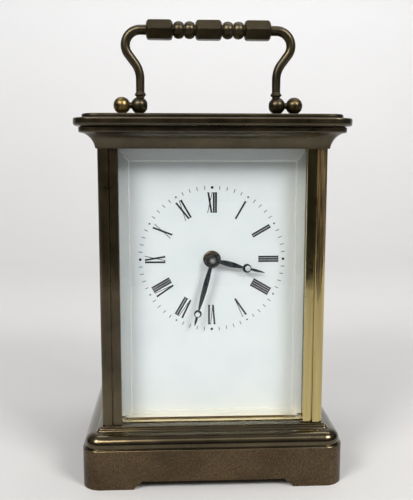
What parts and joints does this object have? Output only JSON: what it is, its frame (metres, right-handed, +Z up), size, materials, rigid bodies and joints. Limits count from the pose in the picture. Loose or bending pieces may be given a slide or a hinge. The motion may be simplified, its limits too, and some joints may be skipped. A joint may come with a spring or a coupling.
{
  "type": "carriage clock",
  "caption": "Small brass carriage clock with bevelled glasses, white dial, moon hands, swinging handle, rear door and lever movement.",
  "frame": {"origin": "on the table, below the centre of the case", "axes": "+Z up, front of the clock towards -Y, +X to the viewer's right"},
  "size_m": [0.0882, 0.0776, 0.156],
  "materials": {
    "patinated_bronze": "dark olive-brown bronzed patina, polished",
    "worn_bronze": "bronzed patina worn through to bright brass",
    "case_glass": "clear bevelled glass",
    "dial_enamel": "white enamel with black numerals",
    "blued_steel": "heat-blued steel",
    "polished_steel": "polished steel",
    "gilt_brass": "gilt brass, fine-grained plates"
  },
  "bodies": {
    "case": {"balance_cock": "gilt_brass", "base_floor_plate": "gilt_brass", "base_moulding": "patinated_bronze", "case_screws": "polished_steel", "click_spring": "polished_steel", "cornice_moulding": "patinated_bronze", "dial_collar": "patinated_bronze", "dial_feet": "gilt_brass", "dial_plate": "dial_enamel", "escape_potence": "gilt_brass", "front_glass": "case_glass", "handle_pivot_pins": "polished_steel", "handle_posts": "worn_bronze", "left_glass": "case_glass", "lever_bridge": "gilt_brass", "minute_wheel_stud": "polished_steel", "movement_back_plate": "gilt_brass", "movement_front_plate": "gilt_brass", "movement_screws": "polished_steel", "pillar_front_left": "patinated_bronze", "pillar_front_right": "worn_bronze", "pillar_rear_left": "patinated_bronze", "pillar_rear_right": "patinated_bronze", "plate_pillars": "gilt_brass", "platform_plate": "gilt_brass", "right_glass": "case_glass", "top_glass": "case_glass", "top_plate": "patinated_bronze"},
    "handle": {"handle_arm_left": "patinated_bronze", "handle_arm_right": "patinated_bronze", "handle_grip": "patinated_bronze"},
    "rear_door": {"rear_door_frame": "patinated_bronze", "rear_door_glass": "case_glass", "door_knob": "patinated_bronze", "door_hinge_pins": "polished_steel"},
    "centre": {"centre_arbor": "polished_steel", "centre_wheel": "gilt_brass", "cannon_pinion": "gilt_brass", "minute_hand": "blued_steel", "hand_nut": "polished_steel"},
    "hour": {"hour_wheel": "gilt_brass", "hour_hand": "blued_steel"},
    "minute_work": {"minute_wheel": "gilt_brass"},
    "barrel": {"barrel_drum": "gilt_brass", "barrel_cover": "gilt_brass", "mainspring": "polished_steel"},
    "third": {"third_arbor": "polished_steel", "third_wheel": "gilt_brass"},
    "contrate": {"contrate_arbor": "polished_steel", "contrate_wheel": "gilt_brass"},
    "escape": {"escape_arbor": "polished_steel", "escape_wheel": "gilt_brass"},
    "winding_arbor": {"barrel_arbor": "polished_steel", "ratchet_wheel": "polished_steel"},
    "click": {"click": "polished_steel"},
    "pallets": {"pallet_fork": "polished_steel"},
    "balance": {"balance_staff": "polished_steel", "balance_wheel": "gilt_brass", "hairspring": "polished_steel"},
    "regulator": {"regulator": "polished_steel"}
  },
  "joints": [
    {"name": "handle_swing", "type": "hinge", "parent": "case", "child": "handle", "pos_m": [0, 0, 0.1265], "axis": [1, 0, 0], "range_deg": [-90, 90]},
    {"name": "rear_door_swing", "type": "hinge", "parent": "case", "child": "rear_door", "pos_m": [0.0287, 0.0301, 0.06525], "axis": [0, 0, -1], "range_deg": [0, 98]},
    {"name": "centre_turn", "type": "hinge", "parent": "case", "child": "centre", "pos_m": [0, 0, 0.07435], "axis": [0, 1, 0], "continuous": true},
    {"name": "hour_turn", "type": "hinge", "parent": "case", "child": "hour", "pos_m": [0, -0.0195, 0.07435], "axis": [0, 1, 0], "continuous": true},
    {"name": "minute_wheel_turn", "type": "hinge", "parent": "case", "child": "minute_work", "pos_m": [0.00579, -0.017, 0.06746], "axis": [0, 1, 0], "continuous": true},
    {"name": "barrel_turn", "type": "hinge", "parent": "case", "child": "barrel", "pos_m": [0, 0, 0.05005], "axis": [0, 1, 0], "continuous": true},
    {"name": "third_turn", "type": "hinge", "parent": "case", "child": "third", "pos_m": [-0.01167, 0, 0.08492], "axis": [0, 1, 0], "continuous": true},
    {"name": "contrate_turn", "type": "hinge", "parent": "case", "child": "contrate", "pos_m": [0, 0, 0.09005], "axis": [0, 1, 0], "continuous": true},
    {"name": "escape_turn", "type": "hinge", "parent": "case", "child": "escape", "pos_m": [0, -0.00285, 0.1], "axis": [0, 0, 1], "continuous": true},
    {"name": "winding_turn", "type": "hinge", "parent": "case", "child": "winding_arbor", "pos_m": [0, 0, 0.05005], "axis": [0, 1, 0], "continuous": true},
    {"name": "click_lift", "type": "hinge", "parent": "case", "child": "click", "pos_m": [-0.009, 0.0145, 0.05845], "axis": [0, 1, 0], "range_deg": [-8, 0]},
    {"name": "pallet_rock", "type": "hinge", "parent": "case", "child": "pallets", "pos_m": [0, 0.00135, 0.105], "axis": [0, 0, 1], "range_deg": [-5, 5]},
    {"name": "balance_swing", "type": "hinge", "parent": "case", "child": "balance", "pos_m": [0, 0.00655, 0.108], "axis": [0, 0, 1], "range_deg": [-135, 135]},
    {"name": "regulator_shift", "type": "hinge", "parent": "case", "child": "regulator", "pos_m": [0, 0.00655, 0.1115], "axis": [0, 0, 1], "range_deg": [-25, 25]}
  ],
  "couplings": [
    {"joint": "hour_turn", "follows": "centre_turn", "ratio": 0.083333},
    {"joint": "minute_wheel_turn", "follows": "centre_turn", "ratio": -0.33333},
    {"joint": "barrel_turn", "follows": "centre_turn", "ratio": -0.125},
    {"joint": "third_turn", "follows": "centre_turn", "ratio": -8},
    {"joint": "contrate_turn", "follows": "centre_turn", "ratio": 60},
    {"joint": "escape_turn", "follows": "centre_turn", "ratio": 600}
  ]
}
